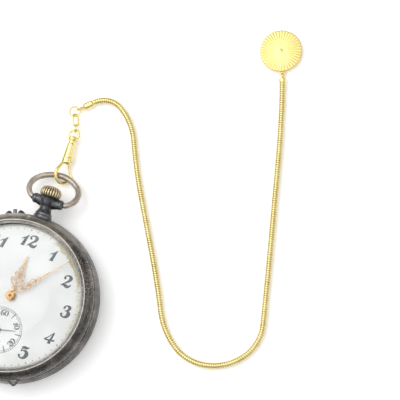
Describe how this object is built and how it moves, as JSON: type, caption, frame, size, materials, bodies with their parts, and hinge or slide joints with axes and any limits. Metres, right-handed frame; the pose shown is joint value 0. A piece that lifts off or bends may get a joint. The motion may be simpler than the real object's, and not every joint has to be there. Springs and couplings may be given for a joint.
{
  "type": "pocket watch",
  "caption": "Open-face pocket watch with opening bezel and back, visible movement train, hinged bow, swivel clasp, round snake chain and engraved lapel disc.",
  "frame": {"origin": "where the case axis meets the flat of the back cover, the plane the watch rests on", "axes": "+Z out of the dial, +Y towards the pendant and crown, +X towards three o'clock"},
  "size_m": [0.0979, 0.1243, 0.0138],
  "materials": {
    "case_metal": "worn, tarnished gunmetal grey",
    "bow_metal": "worn grey, warm where the plating has gone",
    "gilt": "gilt, softly polished",
    "chain_gold": "gold plated, bright with brown shadows",
    "plate_brass": "frosted gilt",
    "bright_steel": "polished steel",
    "blued_steel": "heat blued",
    "ruby": "polished jewel",
    "enamel": "fired white enamel, stained at the rim",
    "crystal_glass": "clear, lightly scratched",
    "worn_brass": "yellow brass, plating worn through, dark in the flutes",
    "dark_hand": "dark grey"
  },
  "bodies": {
    "case": {"case_middle": "case_metal", "pendant": "case_metal", "hinge_pins": "bright_steel", "bow_screws": "bright_steel", "main_plate": "plate_brass", "barrel_bridge": "plate_brass", "train_bridge": "plate_brass", "balance_cock": "plate_brass", "pallet_bridge": "plate_brass", "bridge_screws": "blued_steel", "jewels": "ruby", "dial": "enamel"},
    "front": {"bezel": "case_metal", "crystal": "crystal_glass"},
    "back": {"back_cover": "case_metal"},
    "dust_cover": {"cuvette": "gilt"},
    "bow": {"bow": "bow_metal"},
    "crown_and_stem": {"crown": "worn_brass", "winding_stem": "bright_steel", "winding_pinion": "bright_steel"},
    "sliding_pinion": {"sliding_pinion": "bright_steel"},
    "setting_pin": {"setting_pin": "bright_steel"},
    "setting_lever": {"setting_lever": "bright_steel"},
    "crown_wheel": {"crown_wheel": "bright_steel"},
    "winding_arbor": {"ratchet_wheel": "bright_steel", "barrel_arbor": "bright_steel"},
    "click": {"click": "bright_steel"},
    "barrel": {"barrel": "plate_brass", "mainspring": "blued_steel"},
    "centre_wheel": {"centre_wheel": "gilt"},
    "third_wheel": {"third_wheel": "gilt"},
    "fourth_wheel": {"fourth_wheel": "gilt", "seconds_hand": "dark_hand"},
    "escape_wheel": {"escape_wheel": "bright_steel"},
    "pallet_fork": {"pallet_fork": "bright_steel"},
    "balance": {"balance_wheel": "gilt", "hairspring": "blued_steel"},
    "regulator": {"regulator": "bright_steel"},
    "minute_hand": {"cannon_pinion": "bright_steel", "minute_hand": "gilt"},
    "minute_wheel": {"minute_wheel": "gilt"},
    "hour_hand": {"hour_wheel": "gilt", "hour_hand": "gilt"},
    "clasp": {"clasp_body": "chain_gold"},
    "clasp_gate": {"clasp_gate": "chain_gold"},
    "swivel": {"swivel_eye": "chain_gold"},
    "link_small": {"link_small": "chain_gold"},
    "link_oval": {"link_oval": "chain_gold"},
    "jump_ring": {"jump_ring": "chain_gold"},
    "chain_cap_a": {"chain_cap_a": "chain_gold"},
    "chain_cap_b": {"chain_cap_b": "chain_gold"},
    "lapel_disc": {"lapel_disc": "chain_gold"},
    "chain_seg_01": {"chain_seg_01": "chain_gold"},
    "chain_seg_02": {"chain_seg_02": "chain_gold"},
    "chain_seg_03": {"chain_seg_03": "chain_gold"},
    "chain_seg_04": {"chain_seg_04": "chain_gold"},
    "chain_seg_05": {"chain_seg_05": "chain_gold"},
    "chain_seg_06": {"chain_seg_06": "chain_gold"},
    "chain_seg_07": {"chain_seg_07": "chain_gold"},
    "chain_seg_08": {"chain_seg_08": "chain_gold"}
  },
  "joints": [
    {"name": "bezel_hinge", "type": "hinge", "parent": "case", "child": "front", "pos_m": [-0.02545, 0, 0.00905], "axis": [0, -1, 0], "range_deg": [0, 100]},
    {"name": "back_cover_hinge", "type": "hinge", "parent": "case", "child": "back", "pos_m": [-0.02545, 0, 0.00325], "axis": [0, 1, 0], "range_deg": [0, 100]},
    {"name": "cuvette_hinge", "type": "hinge", "parent": "case", "child": "dust_cover", "pos_m": [-0.02545, 0, 0.00325], "axis": [0, 1, 0], "range_deg": [0, 50]},
    {"name": "bow_hinge", "type": "hinge", "parent": "case", "child": "bow", "pos_m": [0, 0.0297, 0.0064], "axis": [1, 0, 0], "range_deg": [-8, 90]},
    {"name": "clasp_on_bow", "type": "hinge", "parent": "bow", "child": "clasp", "pos_m": [0.0004, 0.03806, 0.002], "axis": [1, 0, 0], "range_deg": [-90, 8]},
    {"name": "clasp_gate_hinge", "type": "hinge", "parent": "clasp", "child": "clasp_gate", "pos_m": [0.00058, 0.04309, 0.00147], "axis": [0.7054, 0.0493, 0.7071], "range_deg": [-28, 0]},
    {"name": "swivel_turn", "type": "hinge", "parent": "clasp", "child": "swivel", "pos_m": [0.0004, 0.03806, 0.002], "axis": [-0.0698, 0.9976, 0], "range_deg": [-15, 15]},
    {"name": "link_small_turn", "type": "hinge", "parent": "swivel", "child": "link_small", "pos_m": [-0.0007, 0.05272, 0.002], "axis": [0, 0, 1], "range_deg": [-8, 8]},
    {"name": "link_oval_turn", "type": "hinge", "parent": "link_small", "child": "link_oval", "pos_m": [-0.0011, 0.05413, 0.0019], "axis": [0, 0, -1], "range_deg": [-8, 8]},
    {"name": "jump_ring_turn", "type": "hinge", "parent": "link_oval", "child": "jump_ring", "pos_m": [-0.00218, 0.05704, 0.00165], "axis": [0, 0, 1], "range_deg": [-8, 8]},
    {"name": "chain_cap_turn", "type": "hinge", "parent": "jump_ring", "child": "chain_cap_a", "pos_m": [-0.00183, 0.05915, 0.0012], "axis": [0, 0, -1], "range_deg": [-8, 8]},
    {"name": "chain_joint_1", "type": "hinge", "parent": "chain_cap_a", "child": "chain_seg_01", "pos_m": [0.00176, 0.06242, 0.0009], "axis": [0, 0, 1], "range_deg": [-10, 25]},
    {"name": "chain_joint_2", "type": "hinge", "parent": "chain_seg_01", "child": "chain_seg_02", "pos_m": [0.01706, 0.05492, 0.0009], "axis": [0, 0, -1], "range_deg": [-25, 10]},
    {"name": "chain_joint_3", "type": "hinge", "parent": "chain_seg_02", "child": "chain_seg_03", "pos_m": [0.02896, 0.03238, 0.0009], "axis": [0, 0, 1], "range_deg": [-12, 25]},
    {"name": "chain_joint_4", "type": "hinge", "parent": "chain_seg_03", "child": "chain_seg_04", "pos_m": [0.04116, 0.01, 0.0009], "axis": [0, 0, -1], "range_deg": [-25, 20]},
    {"name": "chain_joint_5", "type": "hinge", "parent": "chain_seg_04", "child": "chain_seg_05", "pos_m": [0.05849, -0.00104, 0.0009], "axis": [0, 0, 1], "range_deg": [-25, 20]},
    {"name": "chain_joint_6", "type": "hinge", "parent": "chain_seg_05", "child": "chain_seg_06", "pos_m": [0.07092, 0.01522, 0.0009], "axis": [0, 0, -1], "range_deg": [-25, 25]},
    {"name": "chain_joint_7", "type": "hinge", "parent": "chain_seg_06", "child": "chain_seg_07", "pos_m": [0.06548, 0.03859, 0.0009], "axis": [0, 0, 1], "range_deg": [-25, 25]},
    {"name": "chain_joint_8", "type": "hinge", "parent": "chain_seg_07", "child": "chain_seg_08", "pos_m": [0.05988, 0.06193, 0.0009], "axis": [0, 0, -1], "range_deg": [-25, 25]},
    {"name": "chain_joint_9", "type": "hinge", "parent": "chain_seg_08", "child": "chain_cap_b", "pos_m": [0.05395, 0.08332, 0.0009], "axis": [0, 0, 1], "range_deg": [-25, 25]},
    {"name": "disc_turn", "type": "hinge", "parent": "chain_cap_b", "child": "lapel_disc", "pos_m": [0.05304, 0.08617, 0.0009], "axis": [0, 0, 1], "range_deg": [-9, 9]},
    {"name": "crown_turn", "type": "hinge", "parent": "case", "child": "crown_and_stem", "pos_m": [0, 0.033, 0.0064], "axis": [0, 1, 0], "continuous": true},
    {"name": "crown_wheel_turn", "type": "hinge", "parent": "case", "child": "crown_wheel", "pos_m": [0, 0.01342, 0.0036], "axis": [0, 0, 1], "continuous": true},
    {"name": "winding_arbor_turn", "type": "hinge", "parent": "case", "child": "winding_arbor", "pos_m": [0.0052, 0.0062, 0.0036], "axis": [0, 0, 1], "continuous": true},
    {"name": "setting_pin_push", "type": "slide", "parent": "case", "child": "setting_pin", "axis": [0.3322, -0.9432, 0], "range_m": [0, 0.0005]},
    {"name": "sliding_pinion_slide", "type": "slide", "parent": "crown_and_stem", "child": "sliding_pinion", "axis": [0, -1, 0], "range_m": [0, 0.0009]},
    {"name": "setting_lever_turn", "type": "hinge", "parent": "case", "child": "setting_lever", "pos_m": [-0.011, 0.0156, 0.0064], "axis": [0, 0, -1], "range_deg": [0, 5.2]},
    {"name": "click_turn", "type": "hinge", "parent": "case", "child": "click", "pos_m": [-0.0042, 0.009, 0.0036], "axis": [0, 0, 1], "range_deg": [0, 8]},
    {"name": "minute_hand_turn", "type": "hinge", "parent": "case", "child": "minute_hand", "pos_m": [0, 0, 0.011], "axis": [0, 0, -1], "continuous": true},
    {"name": "minute_wheel_turn", "type": "hinge", "parent": "case", "child": "minute_wheel", "pos_m": [0.00165, 0.00236, 0.0088], "axis": [0, 0, -1], "continuous": true},
    {"name": "hour_hand_turn", "type": "hinge", "parent": "case", "child": "hour_hand", "pos_m": [0, 0, 0.01], "axis": [0, 0, -1], "continuous": true},
    {"name": "seconds_hand_turn", "type": "hinge", "parent": "case", "child": "fourth_wheel", "pos_m": [0, -0.0103, 0.008], "axis": [0, 0, -1], "continuous": true},
    {"name": "third_wheel_turn", "type": "hinge", "parent": "case", "child": "third_wheel", "pos_m": [0.00289, -0.0061, 0.0065], "axis": [0, 0, -1], "continuous": true},
    {"name": "centre_wheel_turn", "type": "hinge", "parent": "case", "child": "centre_wheel", "pos_m": [0, 0, 0.007], "axis": [0, 0, -1], "continuous": true},
    {"name": "barrel_turn", "type": "hinge", "parent": "case", "child": "barrel", "pos_m": [0.0052, 0.0062, 0.0062], "axis": [0, 0, -1], "continuous": true},
    {"name": "escape_wheel_turn", "type": "hinge", "parent": "case", "child": "escape_wheel", "pos_m": [-0.00477, -0.00946, 0.007], "axis": [0, 0, -1], "continuous": true},
    {"name": "pallet_fork_rock", "type": "hinge", "parent": "case", "child": "pallet_fork", "pos_m": [-0.00738, -0.00799, 0.0072], "axis": [0, 0, 1], "range_deg": [-5, 5]},
    {"name": "balance_swing", "type": "hinge", "parent": "case", "child": "balance", "pos_m": [-0.0118, -0.0055, 0.006], "axis": [0, 0, 1], "range_deg": [-135, 135]},
    {"name": "regulator_turn", "type": "hinge", "parent": "case", "child": "regulator", "pos_m": [-0.0118, -0.0055, 0.00375], "axis": [0, 0, 1], "range_deg": [-15, 15]}
  ],
  "couplings": [
    {"joint": "cuvette_hinge", "follows": "back_cover_hinge", "ratio": 0.5},
    {"joint": "clasp_on_bow", "follows": "bow_hinge", "ratio": -1},
    {"joint": "crown_wheel_turn", "follows": "crown_turn", "ratio": 0.64865},
    {"joint": "winding_arbor_turn", "follows": "crown_turn", "ratio": -0.46154},
    {"joint": "sliding_pinion_slide", "follows": "setting_pin_push", "ratio": 1.7},
    {"joint": "setting_lever_turn", "follows": "setting_pin_push", "rad_per_m": 173},
    {"joint": "minute_wheel_turn", "follows": "minute_hand_turn", "ratio": -0.33333},
    {"joint": "hour_hand_turn", "follows": "minute_hand_turn", "ratio": 0.083333},
    {"joint": "third_wheel_turn", "follows": "seconds_hand_turn", "ratio": -0.13333},
    {"joint": "centre_wheel_turn", "follows": "seconds_hand_turn", "ratio": 0.016667},
    {"joint": "barrel_turn", "follows": "seconds_hand_turn", "ratio": -0.0025641},
    {"joint": "escape_wheel_turn", "follows": "seconds_hand_turn", "ratio": -10}
  ]
}
